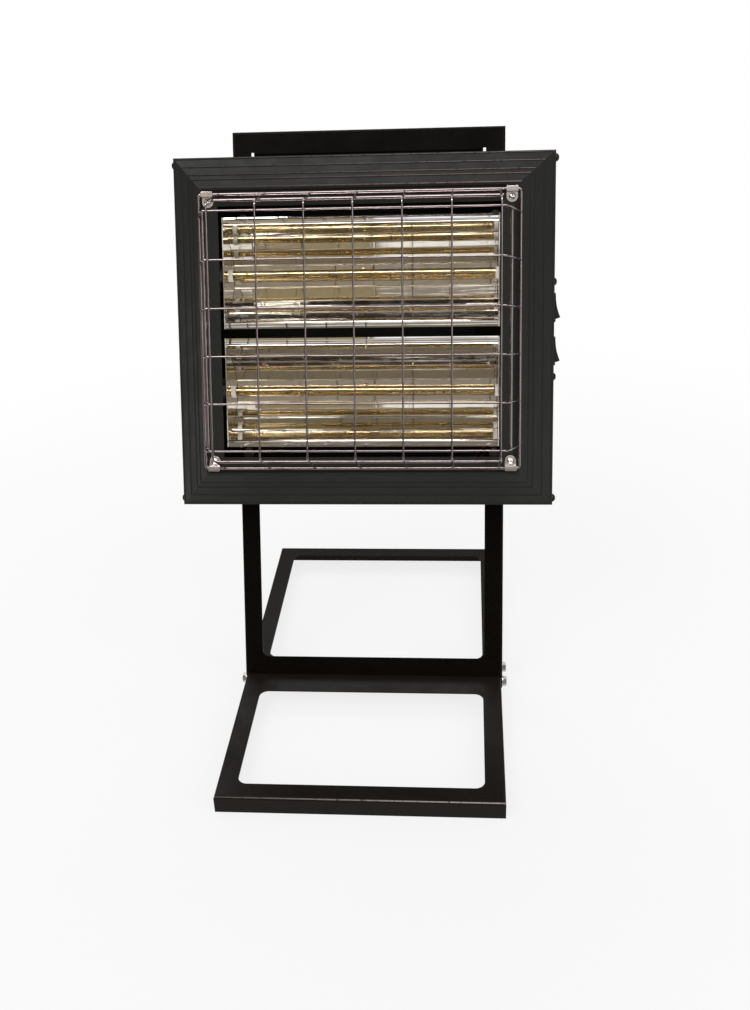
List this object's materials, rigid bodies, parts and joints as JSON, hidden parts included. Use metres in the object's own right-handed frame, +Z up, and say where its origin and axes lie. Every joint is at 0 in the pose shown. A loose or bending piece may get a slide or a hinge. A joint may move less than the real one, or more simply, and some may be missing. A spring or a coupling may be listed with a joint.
{
  "type": "infrared patio heater",
  "caption": "Twin-lamp quartz infrared heater: wire-guarded rectangular head with polished trough reflectors, bolted to a leaning folded-sheet upright on a low base frame.",
  "frame": {"origin": "on the floor, at the centre of the whole object's footprint box", "axes": "+Z up, -Y towards the front that the head faces, +X towards the switch side"},
  "size_m": [0.4192, 0.494, 0.5933],
  "materials": {
    "stand_paint": "near-black brown satin powder coat",
    "head_paint": "anthracite satin powder coat",
    "zinc": "bright zinc plate",
    "black_screws": "black zinc, satin",
    "chrome_wire": "polished chrome plate",
    "reflector": "polished aluminium reflector sheet",
    "quartz": "gold-tinted quartz, clear",
    "filament": "bare tungsten, matt",
    "ceramic": "white steatite ceramic, matt",
    "fittings": "plain aluminium and galvanised sheet",
    "shield_black": "matt black stove enamel",
    "switch_black": "black moulded nylon, semi-gloss",
    "terminals": "brass, plain",
    "block": "natural nylon, matt",
    "leads": "silicone rubber insulation, matt",
    "gland_black": "black moulded nylon, matt"
  },
  "bodies": {
    "heater": {"base_frame": "stand_paint", "upright_frame": "stand_paint", "stand_washers": "zinc", "stand_bolts": "zinc", "stand_nuts": "zinc", "casing_top": "head_paint", "casing_bottom": "head_paint", "casing_left": "head_paint", "casing_right": "head_paint", "casing_corner_screws": "black_screws", "rear_panel": "head_paint", "rear_panel_screws": "black_screws", "head_mount_bolts": "zinc", "head_mount_nuts": "zinc", "guard_row_wires": "chrome_wire", "guard_column_wires": "chrome_wire", "guard_rim": "chrome_wire", "guard_rods": "chrome_wire", "guard_clips": "chrome_wire", "guard_clip_screws": "chrome_wire", "upper_reflector": "reflector", "lower_reflector": "reflector", "upper_reflector_cheeks": "reflector", "lower_reflector_cheeks": "reflector", "upper_lamp_tube": "quartz", "lower_lamp_tube": "quartz", "upper_filament": "filament", "lower_filament": "filament", "upper_lamp_caps": "ceramic", "lower_lamp_caps": "ceramic", "lamp_brackets": "fittings", "heat_shield": "shield_black", "reflector_brackets": "fittings", "bracket_rivets": "fittings", "switch_box": "fittings", "switch_box_screws": "black_screws", "upper_switch_body": "switch_black", "lower_switch_body": "switch_black", "switch_terminals": "terminals", "terminal_block": "block", "earth_stud": "zinc", "lamp_leads": "leads", "cable_gland": "gland_black", "gland_locknut": "gland_black"},
    "upper_rocker": {"upper_rocker": "switch_black"},
    "lower_rocker": {"lower_rocker": "switch_black"}
  },
  "joints": [
    {"name": "upper_rocker_tip", "type": "hinge", "parent": "heater", "child": "upper_rocker", "pos_m": [0.2022, 0.08862, 0.41906], "axis": [0, 0.9336, -0.3584], "range_deg": [0, 24]},
    {"name": "lower_rocker_tip", "type": "hinge", "parent": "heater", "child": "lower_rocker", "pos_m": [0.2022, 0.07206, 0.37592], "axis": [0, 0.9336, -0.3584], "range_deg": [0, 24]}
  ]
}
